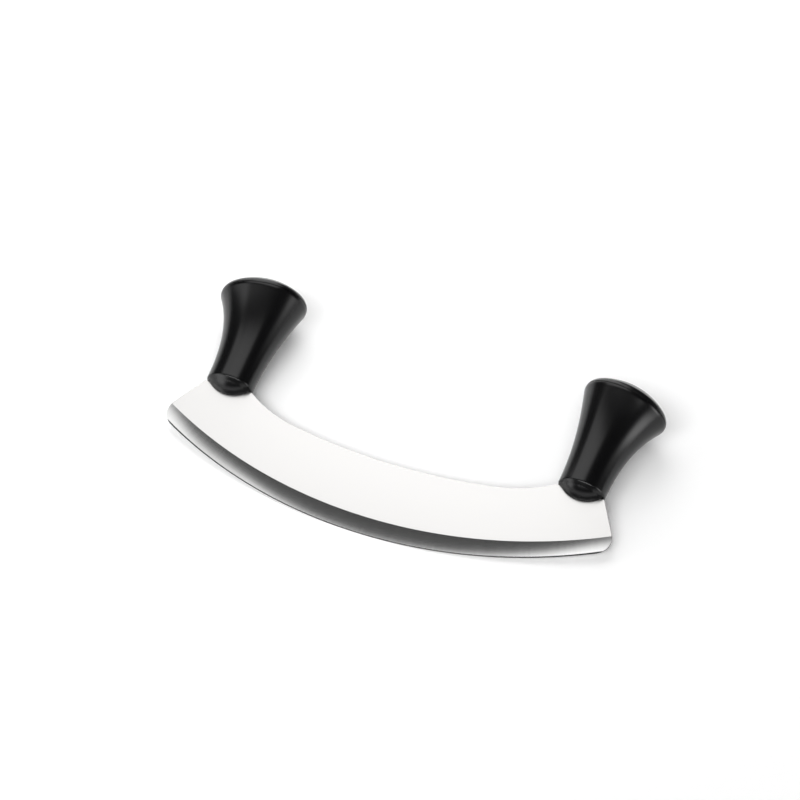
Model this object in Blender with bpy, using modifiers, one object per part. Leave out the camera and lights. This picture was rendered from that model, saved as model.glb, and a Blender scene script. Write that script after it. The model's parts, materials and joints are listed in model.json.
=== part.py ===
"""A mezzaluna: one curved steel blade, rocked by two flared plastic grips that stand at its ends.

The knife is drawn upright, cutting edge down and grips up. X runs along the blade, Z goes up through
the grips, and the blade lies in the plane Y = 0, with its lowest point at the origin. A grip is a
hollow moulding, oval in section, that leans outwards a little more the higher it goes. Its foot is
slotted over the shoulders of the blade. The tang stands up through the neck of the grip, and a cross
pin over a washer keeps it there, under a domed cap. At the end the whole knife is tipped on its back,
the way it lies on a table: on the heads of its grips and the middle of its edge. Lengths are metres.
"""

import math

import bmesh
import bpy
from mathutils import Matrix, Vector

# Blade: a flat sheet, ground on both faces to a narrow land at the cutting edge. The grinding goes round
# a centre a little above the edge's own, so that the bevel narrows towards the blade's ends.
BLADE_LENGTH = 0.2300
BLADE_THICKNESS = 0.0020
EDGE_RADIUS = 0.2369
EDGE_LAND = 0.0003
EDGE_CORNER_RADIUS = 0.0090
BEVEL_WIDTH = 0.0092
GRIND_CENTRE_RISE = 0.0119
SPINE_HEIGHT = 0.0412
SPINE_RADIUS = 0.2985
SPINE_FILLET_RADIUS = 0.0710
SHOULDER_OVERHANG = 0.0003

# Tang: the narrow tongue above the shoulders, with the hole for its cross pin
TANG_WIDTH = 0.0120
TANG_CORNER_RADIUS = 0.0025
TANG_ABOVE_PIN = 0.0045

# Grip: how far its foot stands in from the blade's end and above the spine, and its outer form from the
# foot's rim upwards
GRIP_INSET = 0.0231
FOOT_RISE = 0.0047
GRIP_DEPTH_SHARE = 0.805
FOOT_WIDTH = 0.0240
FOOT_DOME_DEPTH = 0.0048
FOOT_ROUNDING = 0.0007
FLARE_HEIGHT = 0.0512
FLARE_WIDTH = 0.0435
FLARE_EXPONENT = 2.38
HEAD_ROUNDING = 0.0041
HEAD_DOME_HEIGHT = 0.0103
FOOT_LEAN = math.radians(1.5)
HEAD_LEAN = math.radians(9.1)

# Grip: its hollow head, and the cap that closes it
GRIP_WALL = 0.0024
NECK_HEIGHT = 0.0220
HEAD_RIM_WIDTH = 0.0032
CAP_SKIRT_DEPTH = 0.0030
CAP_SKIRT_WALL = 0.0015

# Washer and cross pin on the tang, each with its play inside the hollow's walls
WASHER_THICKNESS = 0.0012
WASHER_PLAY = 0.0019
PIN_DIAMETER = 0.0030
PIN_END_PLAY = 0.0022
PIN_CHAMFER = 0.0003

# Clearance between pieces that touch, and how far a cutter runs past what it cuts
FIT_GAP = 0.0003
CUT_OVERRUN = 0.0040

# Fineness: the chord of a drawn arc, the sides of a turned piece, and the points along its outline
ARC_CHORD = 0.0050
SMALL_ARC_CHORD = 0.0015
GRIP_SIDES = 40
GRIND_SIDES = 240
PIN_SIDES = 24
FLARE_POINTS = 13
DOME_POINTS = 8
ROUNDING_POINTS = 4
JOIN_DISTANCE = 0.00001

# Worked out from the sizes above
BLADE_HALF = BLADE_THICKNESS / 2
FOOT_RADIUS = FOOT_WIDTH / 2
FLARE_RADIUS = FLARE_WIDTH / 2
FLARE_TOP_SLOPE = math.atan(FLARE_EXPONENT * (FLARE_RADIUS - FOOT_RADIUS) / FLARE_HEIGHT)
HEAD_HEIGHT = FLARE_HEIGHT + HEAD_ROUNDING * math.sin(FLARE_TOP_SLOPE)
HEAD_RADIUS = FLARE_RADIUS + HEAD_ROUNDING * (1 - math.cos(FLARE_TOP_SLOPE))
HEAD_SOCKET_RADIUS = HEAD_RADIUS - HEAD_RIM_WIDTH
PIN_HEIGHT = NECK_HEIGHT + FIT_GAP + WASHER_THICKNESS + FIT_GAP + PIN_DIAMETER / 2
TANG_HEIGHT = PIN_HEIGHT + TANG_ABOVE_PIN
GRIP_SPACING = BLADE_LENGTH - 2 * GRIP_INSET
INNER_SHOULDER = GRIP_SPACING / 2 - FOOT_RADIUS - SHOULDER_OVERHANG
SPINE_AT_SHOULDER = SPINE_HEIGHT + SPINE_RADIUS - math.sqrt(SPINE_RADIUS**2 - INNER_SHOULDER**2)
GRIP_FOOT_HEIGHT = SPINE_AT_SHOULDER + FOOT_RISE
GRIND_RADIUS = EDGE_RADIUS + GRIND_CENTRE_RISE

SIDES = {"left": -1, "right": 1}


def clear_scene():
    """Removes what the scene starts with."""
    for item in list(bpy.data.objects):
        bpy.data.objects.remove(item, do_unlink=True)


def new_collection(name):
    """A collection linked to the scene."""
    collection = bpy.data.collections.new(name)
    bpy.context.scene.collection.children.link(collection)
    return collection


def new_material(name, colour, metallic, roughness):
    """A Principled material of one colour."""
    material = bpy.data.materials.new(name)
    material.use_nodes = True
    shader = material.node_tree.nodes["Principled BSDF"]
    shader.inputs["Base Color"].default_value = (*colour, 1)
    shader.inputs["Metallic"].default_value = metallic
    shader.inputs["Roughness"].default_value = roughness
    return material


def place(name, mesh, collection, pose):
    """An object for a mesh, in a collection and carried by the knife's pose."""
    item = bpy.data.objects.new(name, mesh)
    collection.objects.link(item)
    item.parent = pose
    return item


def place_cutter(name, mesh, collection, pose):
    """A cutter: it shows as a wire and isn't rendered."""
    item = place(name, mesh, collection, pose)
    item.hide_render = True
    item.display_type = "WIRE"
    return item


def cut(item, cutter):
    """Takes the cutter's shape out of a piece."""
    boolean = item.modifiers.new("cut_" + cutter.name, "BOOLEAN")
    boolean.operation = "DIFFERENCE"
    boolean.solver = "EXACT"
    boolean.object = cutter


def solid_mesh(source):
    """The evaluated mesh of a curve or a turned outline, closed and facing outwards. The source goes."""
    bpy.context.view_layer.update()
    graph = bpy.context.evaluated_depsgraph_get()
    mesh = bpy.data.meshes.new_from_object(source.evaluated_get(graph))
    mesh.transform(source.matrix_world)
    bpy.data.objects.remove(source, do_unlink=True)
    work = bmesh.new()
    work.from_mesh(mesh)
    bmesh.ops.remove_doubles(work, verts=work.verts, dist=JOIN_DISTANCE)
    bmesh.ops.recalc_face_normals(work, faces=work.faces)
    work.to_mesh(mesh)
    work.free()
    return mesh


def turn(name, outline, sides, closed=False):
    """A turned solid about Z from (radius, height) points that run down its outer side."""
    edges = [(index, index + 1) for index in range(len(outline) - 1)]
    if closed:
        edges.append((len(outline) - 1, 0))
    mesh = bpy.data.meshes.new(name)
    mesh.from_pydata([(radius, 0, height) for radius, height in outline], edges, [])
    source = bpy.data.objects.new(name + "_outline", mesh)
    bpy.context.scene.collection.objects.link(source)
    screw = source.modifiers.new("turn", "SCREW")
    screw.axis = "Z"
    screw.steps = sides
    screw.render_steps = sides
    screw.use_merge_vertices = True
    screw.merge_threshold = JOIN_DISTANCE
    return solid_mesh(source)


def flat_solid(name, loops, thickness, frame):
    """A plate from closed loops of points in the frame's XY plane, the first its outline, the rest holes."""
    drawing = bpy.data.curves.new(name, "CURVE")
    drawing.dimensions = "2D"
    drawing.fill_mode = "BOTH"
    drawing.extrude = thickness / 2
    for loop in loops:
        spline = drawing.splines.new("POLY")
        spline.points.add(len(loop) - 1)
        for point, (across, up) in zip(spline.points, loop):
            point.co = (across, up, 0, 1)
        spline.use_cyclic_u = True
    source = bpy.data.objects.new(name + "_drawing", drawing)
    bpy.context.scene.collection.objects.link(source)
    source.matrix_world = frame
    return solid_mesh(source)


def box_mesh(name, width, depth, bottom, top, frame):
    """A box centred on its frame's Z axis, from a bottom height to a top height."""
    mesh = bpy.data.meshes.new(name)
    work = bmesh.new()
    size = Matrix.Diagonal((width, depth, top - bottom, 1))
    shift = Matrix.Translation((0, 0, (top + bottom) / 2))
    bmesh.ops.create_cube(work, size=1, matrix=frame @ shift @ size)
    work.to_mesh(mesh)
    work.free()
    return mesh


def shade_round(mesh, angle=math.radians(35)):
    """Smooth shading, with edges sharper than the angle kept crisp."""
    mesh.shade_smooth()
    mesh.set_sharp_from_angle(angle=angle)


def arc(centre, radius, start, end, chord):
    """Points on a circle from one angle to another, both included."""
    count = max(2, math.ceil(abs(end - start) * radius / chord))
    angles = [start + (end - start) * index / count for index in range(count + 1)]
    return [centre + radius * Vector((math.cos(angle), math.sin(angle))) for angle in angles]


def angle_of(vector):
    """The direction of a flat vector, from +X towards +Y."""
    return math.atan2(vector.y, vector.x)


def circles_meet(first, first_radius, second, second_radius):
    """Where two circles cross, on the left of the way from the first centre to the second."""
    way = second - first
    along = (way.length_squared + first_radius**2 - second_radius**2) / (2 * way.length)
    aside = math.sqrt(first_radius**2 - along**2)
    forward = way.normalized()
    return first + along * forward + aside * Vector((-forward.y, forward.x))


def grip_axis(height):
    """How far a grip's axis has moved outwards and upwards at a height above its foot, and its lean there."""
    along = min(max(height, 0), HEAD_HEIGHT)
    climb = math.tan(HEAD_LEAN) - math.tan(FOOT_LEAN)
    lean = math.atan(math.tan(FOOT_LEAN) + climb * (along / HEAD_HEIGHT) ** 2)
    outwards = math.tan(FOOT_LEAN) * along + climb * along**3 / (3 * HEAD_HEIGHT**2)
    rest = height - along
    return outwards + rest * math.sin(lean), along + rest * math.cos(lean), lean


def foot_point(side):
    """The middle of a foot's rim."""
    return Vector((side * GRIP_SPACING / 2, 0, GRIP_FOOT_HEIGHT))


def leaning_frame(side, lean):
    """A frame at the middle of a foot's rim, with Z along the lean."""
    return Matrix.Translation(foot_point(side)) @ Matrix.Rotation(side * lean, 4, "Y")


def tang_frame(side):
    """The tang is straight, along the chord of the grip's axis."""
    outwards, upwards, _ = grip_axis(TANG_HEIGHT)
    return leaning_frame(side, math.atan2(outwards, upwards))


def press_and_lean(mesh, side):
    """Takes an upright round piece to its place in a grip: oval in section, along the leaning axis."""
    foot = foot_point(side)
    for vertex in mesh.vertices:
        across, depth, height = vertex.co
        outwards, upwards, lean = grip_axis(height)
        vertex.co = foot + Vector(
            (
                side * outwards + across * math.cos(lean),
                depth * GRIP_DEPTH_SHARE,
                upwards - side * across * math.sin(lean),
            )
        )


def flare(height):
    """The outer radius of a grip's side, before it is pressed oval."""
    return FOOT_RADIUS + (FLARE_RADIUS - FOOT_RADIUS) * (height / FLARE_HEIGHT) ** FLARE_EXPONENT


def hollow_radius(height):
    """The radius of the hollow inside a grip, before it is pressed oval."""
    return flare(height) - GRIP_WALL


def spread(start, end, count):
    """Numbers at even steps from start to end, both included."""
    return [start + (end - start) * index / (count - 1) for index in range(count)]


def grip_outer_side():
    """A grip's outer side from the widest circle of its head down to the tip of its foot's dome."""
    centre_radius = HEAD_RADIUS - HEAD_ROUNDING
    outline = [
        (centre_radius + HEAD_ROUNDING * math.cos(turned), HEAD_HEIGHT - HEAD_ROUNDING * math.sin(turned))
        for turned in spread(0, FLARE_TOP_SLOPE, ROUNDING_POINTS)[:-1]
    ]
    outline += [(flare(height), height) for height in spread(FLARE_HEIGHT, FOOT_ROUNDING, FLARE_POINTS)]
    rim_radius = flare(FOOT_ROUNDING) - FOOT_ROUNDING
    dome_radius = (rim_radius**2 + FOOT_DOME_DEPTH**2) / (2 * FOOT_DOME_DEPTH)
    dome_half_angle = math.asin(rim_radius / dome_radius)
    for turned in spread(0, math.pi / 2 - dome_half_angle, ROUNDING_POINTS)[1:]:
        height = FOOT_ROUNDING * (1 - math.sin(turned))
        outline.append((rim_radius + FOOT_ROUNDING * math.cos(turned), height))
    dome_centre = dome_radius - FOOT_DOME_DEPTH
    for turned in spread(dome_half_angle, 0, DOME_POINTS)[1:]:
        outline.append((dome_radius * math.sin(turned), dome_centre - dome_radius * math.cos(turned)))
    return outline


def grip_outline():
    """The whole outline of a grip: up inside its hollow head, over the rim and down outside."""
    socket_floor = HEAD_HEIGHT - CAP_SKIRT_DEPTH - FIT_GAP
    outline = [(0, NECK_HEIGHT)]
    heights = spread(NECK_HEIGHT, socket_floor, FLARE_POINTS // 2)
    outline += [(hollow_radius(height), height) for height in heights]
    outline += [(HEAD_SOCKET_RADIUS, socket_floor), (HEAD_SOCKET_RADIUS, HEAD_HEIGHT)]
    return outline + grip_outer_side()


def dome_arc(radius, height, rounding):
    """The sphere of a domed top that meets a rounded rim smoothly: its radius and its half angle."""
    centre_radius = radius - rounding
    sphere = (height**2 + centre_radius**2 - rounding**2) / (2 * (height - rounding))
    return sphere, math.atan2(centre_radius, sphere - height)


def cap_outline():
    """The outline of a cap: down its dome, under its rim and skirt, and up inside to the middle."""
    sphere, half_angle = dome_arc(HEAD_RADIUS, HEAD_DOME_HEIGHT, HEAD_ROUNDING)
    centre_height = HEAD_HEIGHT + HEAD_DOME_HEIGHT - sphere
    outline = [
        (sphere * math.sin(turned), centre_height + sphere * math.cos(turned))
        for turned in spread(0, half_angle, DOME_POINTS)
    ]
    seat = math.asin(FIT_GAP / HEAD_ROUNDING)
    for turned in spread(math.pi / 2 - half_angle, seat, ROUNDING_POINTS + 1)[1:]:
        radius = HEAD_RADIUS - HEAD_ROUNDING * (1 - math.cos(turned))
        outline.append((radius, HEAD_HEIGHT + HEAD_ROUNDING * math.sin(turned)))
    skirt_radius = HEAD_SOCKET_RADIUS - FIT_GAP
    skirt_inner_radius = skirt_radius - CAP_SKIRT_WALL
    outline += [
        (skirt_radius, HEAD_HEIGHT + FIT_GAP),
        (skirt_radius, HEAD_HEIGHT - CAP_SKIRT_DEPTH),
        (skirt_inner_radius, HEAD_HEIGHT - CAP_SKIRT_DEPTH),
    ]
    inner_sphere = sphere - GRIP_WALL
    inner_half_angle = math.asin(skirt_inner_radius / inner_sphere)
    outline += [
        (inner_sphere * math.sin(turned), centre_height + inner_sphere * math.cos(turned))
        for turned in spread(inner_half_angle, 0, DOME_POINTS - 2)
    ]
    return outline


def corner_centre():
    """The centre of the rounding where the cutting edge turns into the blade's right end."""
    across = BLADE_LENGTH / 2 - EDGE_CORNER_RADIUS
    reach = EDGE_RADIUS - EDGE_CORNER_RADIUS
    return Vector((across, EDGE_RADIUS - math.sqrt(reach**2 - across**2)))


def edge_and_end(shoulder):
    """Half of the cutting edge, from its middle outwards, its corner, and the end up to the shoulder."""
    edge_centre = Vector((0, EDGE_RADIUS))
    corner = corner_centre()
    leave = angle_of(corner - edge_centre)
    points = arc(edge_centre, EDGE_RADIUS, -math.pi / 2, leave, ARC_CHORD)
    to_shoulder = shoulder - corner
    tangent = angle_of(to_shoulder) - math.acos(EDGE_CORNER_RADIUS / to_shoulder.length)
    points += arc(corner, EDGE_CORNER_RADIUS, leave, tangent, SMALL_ARC_CHORD)[1:]
    return points + [shoulder]


def tang_points():
    """The right tang's outline, up its outer side, over its rounded end and down its inner side."""
    half = TANG_WIDTH / 2
    top = TANG_HEIGHT - TANG_CORNER_RADIUS
    across = half - TANG_CORNER_RADIUS
    local = [Vector((half, 0))]
    local += arc(Vector((across, top)), TANG_CORNER_RADIUS, 0, math.pi / 2, SMALL_ARC_CHORD)
    local += arc(Vector((-across, top)), TANG_CORNER_RADIUS, math.pi / 2, math.pi, SMALL_ARC_CHORD)
    local.append(Vector((-half, 0)))
    return [on_blade(tang_frame(1), point) for point in local]


def on_blade(frame, point):
    """A point of a frame's XZ plane, as a point of the blade's outline."""
    placed = frame @ Vector((point.x, 0, point.y))
    return Vector((placed.x, placed.z))


def spine_points(shoulder):
    """The inner fillet from the shoulder down to the spine, and half of the spine to its middle."""
    spine_centre = Vector((0, SPINE_HEIGHT + SPINE_RADIUS))
    reach = SPINE_RADIUS - SPINE_FILLET_RADIUS
    fillet = circles_meet(shoulder, SPINE_FILLET_RADIUS, spine_centre, reach)
    leave = angle_of(fillet - spine_centre)
    points = arc(fillet, SPINE_FILLET_RADIUS, angle_of(shoulder - fillet), leave, SMALL_ARC_CHORD)
    return points + arc(spine_centre, SPINE_RADIUS, leave, -math.pi / 2, ARC_CHORD)[1:]


def blade_loops():
    """The blade's outline and its two pin holes."""
    half_width = FOOT_RADIUS + SHOULDER_OVERHANG
    foot = leaning_frame(1, FOOT_LEAN)
    outer = on_blade(foot, Vector((half_width, 0)))
    inner = on_blade(foot, Vector((-half_width, 0)))
    right = edge_and_end(outer) + tang_points() + spine_points(inner)
    left = [Vector((-point.x, point.y)) for point in reversed(right[1:-1])]
    hole_radius = PIN_DIAMETER / 2 + FIT_GAP
    holes = []
    for side in SIDES.values():
        centre = on_blade(tang_frame(side), Vector((0, PIN_HEIGHT)))
        holes.append(arc(centre, hole_radius, 0, 2 * math.pi, hole_radius * math.pi / PIN_SIDES * 2)[:-1])
    return [right + left, *holes]


def grind_outline():
    """The ring of metal that grinding takes off one face, in (radius, depth) about the grinding's centre."""
    top = Vector((GRIND_RADIUS - BEVEL_WIDTH, BLADE_HALF))
    land = Vector((GRIND_RADIUS, EDGE_LAND / 2))
    step = (land - top).normalized() * CUT_OVERRUN
    start = top - step
    end = land + step
    return [tuple(start), (end.x, start.y), tuple(end)]


def make_blade(parts, cutters, pose, material):
    """The sheet blade, cut to its outline and ground on both faces."""
    upright = Matrix.Rotation(math.pi / 2, 4, "X")
    blade = place("blade", flat_solid("blade", blade_loops(), BLADE_THICKNESS, upright), parts, pose)
    for name, face in (("front", 1), ("back", -1)):
        ring = turn("grind_" + name, grind_outline(), GRIND_SIDES, closed=True)
        ring.transform(Matrix.Rotation(face * math.pi / 2, 4, "X"))
        ring.transform(Matrix.Translation((0, 0, GRIND_RADIUS)))
        cut(blade, place_cutter("grind_" + name, ring, cutters, pose))
    blade.data.materials.append(material)
    return blade


def make_grip(name, side, parts, cutters, pose, material):
    """A grip, slotted for the blade's shoulders and its tang."""
    mesh = turn("grip_" + name, grip_outline(), GRIP_SIDES)
    press_and_lean(mesh, side)
    shade_round(mesh)
    grip = place("grip_" + name, mesh, parts, pose)
    slot_depth = BLADE_THICKNESS + 2 * FIT_GAP
    below = -FOOT_DOME_DEPTH - CUT_OVERRUN
    shoulder_slot = box_mesh(
        "shoulder_slot_" + name,
        FOOT_WIDTH + 2 * CUT_OVERRUN,
        slot_depth,
        below,
        FIT_GAP,
        leaning_frame(side, FOOT_LEAN),
    )
    tang_slot = box_mesh(
        "tang_slot_" + name,
        TANG_WIDTH + 2 * FIT_GAP,
        slot_depth,
        below,
        NECK_HEIGHT + CUT_OVERRUN,
        tang_frame(side),
    )
    cut(grip, place_cutter("shoulder_slot_" + name, shoulder_slot, cutters, pose))
    cut(grip, place_cutter("tang_slot_" + name, tang_slot, cutters, pose))
    grip.data.materials.append(material)
    return grip


def make_cap(name, side, parts, pose, material):
    """The domed cap, with its skirt down inside the head."""
    mesh = turn("cap_" + name, cap_outline(), GRIP_SIDES)
    press_and_lean(mesh, side)
    shade_round(mesh)
    cap = place("cap_" + name, mesh, parts, pose)
    cap.data.materials.append(material)
    return cap


def make_washer(name, side, parts, pose, material):
    """The round-ended washer that spreads the pin's pull over the floor of the hollow."""
    radius = hollow_radius(NECK_HEIGHT) * GRIP_DEPTH_SHARE - WASHER_PLAY
    across = hollow_radius(NECK_HEIGHT) - WASHER_PLAY - radius
    quarter = math.pi / 2
    outline = arc(Vector((across, 0)), radius, -quarter, quarter, SMALL_ARC_CHORD)
    outline += arc(Vector((-across, 0)), radius, quarter, 3 * quarter, SMALL_ARC_CHORD)
    slot_width = TANG_WIDTH / 2 + FIT_GAP
    slot_depth = BLADE_HALF + FIT_GAP
    corners = ((1, 1), (-1, 1), (-1, -1), (1, -1))
    slot = [(right * slot_width, front * slot_depth) for right, front in corners]
    middle = NECK_HEIGHT + FIT_GAP + WASHER_THICKNESS / 2
    frame = tang_frame(side) @ Matrix.Translation((0, 0, middle))
    mesh = flat_solid("washer_" + name, [outline, slot], WASHER_THICKNESS, frame)
    washer = place("washer_" + name, mesh, parts, pose)
    washer.data.materials.append(material)
    return washer


def make_pin(name, side, parts, pose, material):
    """The cross pin through the tang, its ends chamfered."""
    work = bmesh.new()
    frame = tang_frame(side) @ Matrix.Translation((0, 0, PIN_HEIGHT)) @ Matrix.Rotation(math.pi / 2, 4, "X")
    bmesh.ops.create_cone(
        work,
        cap_ends=True,
        segments=PIN_SIDES,
        radius1=PIN_DIAMETER / 2,
        radius2=PIN_DIAMETER / 2,
        depth=2 * (hollow_radius(PIN_HEIGHT) * GRIP_DEPTH_SHARE - PIN_END_PLAY),
        matrix=frame,
    )
    rims = [edge for edge in work.edges if any(len(face.verts) > 4 for face in edge.link_faces)]
    bmesh.ops.bevel(work, geom=rims, offset=PIN_CHAMFER, segments=1, affect="EDGES")
    mesh = bpy.data.meshes.new("pin_" + name)
    work.to_mesh(mesh)
    work.free()
    shade_round(mesh)
    pin = place("pin_" + name, mesh, parts, pose)
    pin.data.materials.append(material)
    return pin


def upright_points(pieces):
    """Every point of the finished pieces, before the knife is laid down."""
    bpy.context.view_layer.update()
    graph = bpy.context.evaluated_depsgraph_get()
    points = []
    for piece in pieces:
        finished = piece.evaluated_get(graph)
        mesh = finished.to_mesh()
        points += [finished.matrix_world @ vertex.co for vertex in mesh.vertices]
        finished.to_mesh_clear()
    return points


def lay_on_back(pose, pieces):
    """Tips the knife back about its edge until the heads of its grips touch, and centres it on the table."""
    points = upright_points(pieces)
    back_of_edge = EDGE_LAND / 2
    tilt = max(math.atan2(point.y - back_of_edge, point.z) for point in points if point.z > GRIP_FOOT_HEIGHT)
    tip_back = Matrix.Rotation(tilt - math.pi / 2, 4, "X")
    lying = [tip_back @ point for point in points]
    lows = [min(point[axis] for point in lying) for axis in range(3)]
    highs = [max(point[axis] for point in lying) for axis in range(3)]
    middle = Vector(((lows[0] + highs[0]) / 2, (lows[1] + highs[1]) / 2, lows[2]))
    pose.matrix_world = Matrix.Translation(-middle) @ tip_back


def main():
    """Builds the knife."""
    clear_scene()
    parts = new_collection("mezzaluna")
    cutters = new_collection("mezzaluna_cutters")
    pose = bpy.data.objects.new("lying_pose", None)
    parts.objects.link(pose)

    sheet_steel = new_material("satin_steel_sheet", (0.60, 0.60, 0.61), 1.0, 0.32)
    black_plastic = new_material("black_gloss_plastic", (0.010, 0.010, 0.011), 0.0, 0.22)
    plated_steel = new_material("zinc_plated_steel", (0.55, 0.56, 0.58), 1.0, 0.38)
    pin_steel = new_material("hardened_pin_steel", (0.40, 0.40, 0.41), 1.0, 0.28)

    pieces = [make_blade(parts, cutters, pose, sheet_steel)]
    for name, side in SIDES.items():
        pieces.append(make_grip(name, side, parts, cutters, pose, black_plastic))
        pieces.append(make_cap(name, side, parts, pose, black_plastic))
        pieces.append(make_washer(name, side, parts, pose, plated_steel))
        pieces.append(make_pin(name, side, parts, pose, pin_steel))
    lay_on_back(pose, pieces)


main()
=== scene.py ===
"""The looks of a mezzaluna: one curved steel blade with two glossy black grips, lying on its back.

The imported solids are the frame: they say where each piece is and how large. The blade, the grips and
their caps are modelled again here with fine surfaces, in the knife's upright position: X runs along the
blade, Z goes up through the grips, and the lowest point of the cutting edge is the origin. A finished
piece is then laid on its back as the frame's own blade lies. Lengths are metres.
"""

import json
import logging
import math
from contextlib import contextmanager
from dataclasses import dataclass
from enum import Enum
from typing import Callable, Iterator, Sequence

import bmesh
import bpy
from bpy.types import Material, Node, NodeSocket, NodeTree, Object
from mathutils import Color, Matrix, Quaternion, Vector


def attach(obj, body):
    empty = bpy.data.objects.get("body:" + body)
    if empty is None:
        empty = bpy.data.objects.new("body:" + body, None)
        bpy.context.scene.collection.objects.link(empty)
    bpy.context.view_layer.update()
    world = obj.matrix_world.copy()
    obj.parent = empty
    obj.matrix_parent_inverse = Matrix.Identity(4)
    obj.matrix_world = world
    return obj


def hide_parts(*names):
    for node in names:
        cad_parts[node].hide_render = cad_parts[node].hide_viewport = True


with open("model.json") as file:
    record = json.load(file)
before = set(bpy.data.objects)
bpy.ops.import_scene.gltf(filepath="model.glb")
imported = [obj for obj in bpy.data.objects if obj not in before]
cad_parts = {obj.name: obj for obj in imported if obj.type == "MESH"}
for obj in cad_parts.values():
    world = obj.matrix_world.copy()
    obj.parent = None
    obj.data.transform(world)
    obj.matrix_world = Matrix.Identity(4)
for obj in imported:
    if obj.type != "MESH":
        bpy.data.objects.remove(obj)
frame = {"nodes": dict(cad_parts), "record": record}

LOG = logging.getLogger("mezzaluna")
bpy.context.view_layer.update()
BODY = "root"
FRONT_MOUNT = "blade_front_face"
MILLIMETRE = 0.001
JOIN_DISTANCE = 0.000005

Pair = tuple[float, float]
RadiusAndHeight = tuple[float, float]
Triple = tuple[float, float, float]
# What the inputs of a node take, by name or number: a value, or the output that feeds it
Inputs = dict[str | int, object]


class Side(Enum):
    """The two ends of the knife, by the direction of X."""

    LEFT = -1
    RIGHT = 1

    @property
    def word(self) -> str:
        """The side's name as it stands in the names of nodes."""
        return self.name.lower()


class BladeFace(Enum):
    """The two faces of the blade, by the direction of Y on the upright knife."""

    FRONT = -1
    BACK = 1


def select_only(piece: Object) -> None:
    """Makes one object the only selected one, and the active one.

    Args:
        piece: the object to select.
    """
    bpy.ops.object.select_all(action="DESELECT")
    piece.select_set(True)
    bpy.context.view_layer.objects.active = piece


def settle(piece: Object) -> None:
    """Moves an object's place, turn and scale into its mesh.

    Args:
        piece: the mesh object.
    """
    select_only(piece)
    bpy.ops.object.transform_apply(location=True, rotation=True, scale=True)


@contextmanager
def editing(piece: Object) -> Iterator[None]:
    """Edit mode on one object, with all its mesh selected.

    Args:
        piece: the mesh object to edit.
    """
    select_only(piece)
    bpy.ops.object.mode_set(mode="EDIT")
    bpy.ops.mesh.select_all(action="SELECT")
    yield
    bpy.ops.object.mode_set(mode="OBJECT")


def select_where(piece: Object, test: Callable[[Vector], bool]) -> None:
    """Selects the vertices of a piece in edit mode that pass a test, and nothing else.

    Args:
        piece: the mesh object, in edit mode.
        test: says whether the vertex at a place is wanted.
    """
    bpy.ops.mesh.select_mode(type="VERT")
    mesh = bmesh.from_edit_mesh(piece.data)
    for vertex in mesh.verts:
        vertex.select = test(vertex.co)
    mesh.select_flush_mode()
    bmesh.update_edit_mesh(piece.data)


def name_piece(name: str) -> Object:
    """Names the object that an operator has just added.

    Args:
        name: the object's new name.

    Returns:
        The object.
    """
    piece = bpy.context.object
    piece.name = name
    piece.data.name = name
    return piece


def apply_modifier(piece: Object, kind: str, **settings: object) -> None:
    """Adds a modifier to an object and applies it.

    Args:
        piece: the mesh object.
        kind: the modifier's type.
        settings: the modifier's options.
    """
    modifier = piece.modifiers.new(kind.lower(), kind)
    for option, value in settings.items():
        setattr(modifier, option, value)
    select_only(piece)
    bpy.ops.object.modifier_apply(modifier=modifier.name)


def cut_out(piece: Object, cutter: Object) -> None:
    """Takes a cutter's shape out of a piece, and the cutter out of the scene.

    Args:
        piece: the mesh object that is cut.
        cutter: the closed mesh object that cuts it.
    """
    apply_modifier(piece, "BOOLEAN", operation="DIFFERENCE", solver="EXACT", object=cutter)
    bpy.data.objects.remove(cutter, do_unlink=True)


def face_outwards(piece: Object) -> None:
    """Merges what lies on the same spot and turns all faces outwards.

    Args:
        piece: the closed mesh object.
    """
    with editing(piece):
        bpy.ops.mesh.remove_doubles(threshold=JOIN_DISTANCE)
        bpy.ops.mesh.normals_make_consistent(inside=False)
        if bmesh.from_edit_mesh(piece.data).calc_volume(signed=True) < 0:
            bpy.ops.mesh.flip_normals()


def shade_smooth(piece: Object, angle: float) -> None:
    """Shades a piece smooth, with sharper edges than the angle kept crisp.

    Args:
        piece: the mesh object.
        angle: the largest angle between faces that is shaded smooth.
    """
    select_only(piece)
    bpy.ops.object.shade_smooth_by_angle(angle=angle)


def mirror_copy(piece: Object, name: str) -> Object:
    """Copies a piece, with its own mesh, to the other end of the knife.

    Args:
        piece: the piece on the right, in the upright position.
        name: the copy's name.

    Returns:
        The mirrored copy.
    """
    select_only(piece)
    bpy.ops.object.duplicate(linked=False)
    copy = name_piece(name)
    copy.scale.x = -1
    settle(copy)
    face_outwards(copy)
    return copy


def spread(start: float, end: float, count: int) -> list[float]:
    """Numbers at even steps.

    Args:
        start: the first number.
        end: the last number.
        count: how many numbers, both ends included.

    Returns:
        The numbers.
    """
    return [start + (end - start) * index / (count - 1) for index in range(count)]


def flat(vector: Vector) -> Vector:
    """The X and Z of a point in the blade's plane, as a flat vector."""
    return Vector((vector.x, vector.z))


def angle_of(vector: Vector) -> float:
    """The direction of a flat vector, from its first axis towards its second."""
    return math.atan2(vector.y, vector.x)


def circles_meet(first: Vector, first_radius: float, second: Vector, second_radius: float) -> Vector:
    """Finds where two circles cross, on the left of the way from the first centre to the second.

    Args:
        first: the first circle's centre.
        first_radius: its radius.
        second: the second circle's centre.
        second_radius: its radius.

    Returns:
        The crossing point.
    """
    way = second - first
    along = (way.length_squared + first_radius**2 - second_radius**2) / (2 * way.length)
    aside = math.sqrt(first_radius**2 - along**2)
    forward = way.normalized()
    return first + along * forward + aside * Vector((-forward.y, forward.x))


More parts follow.
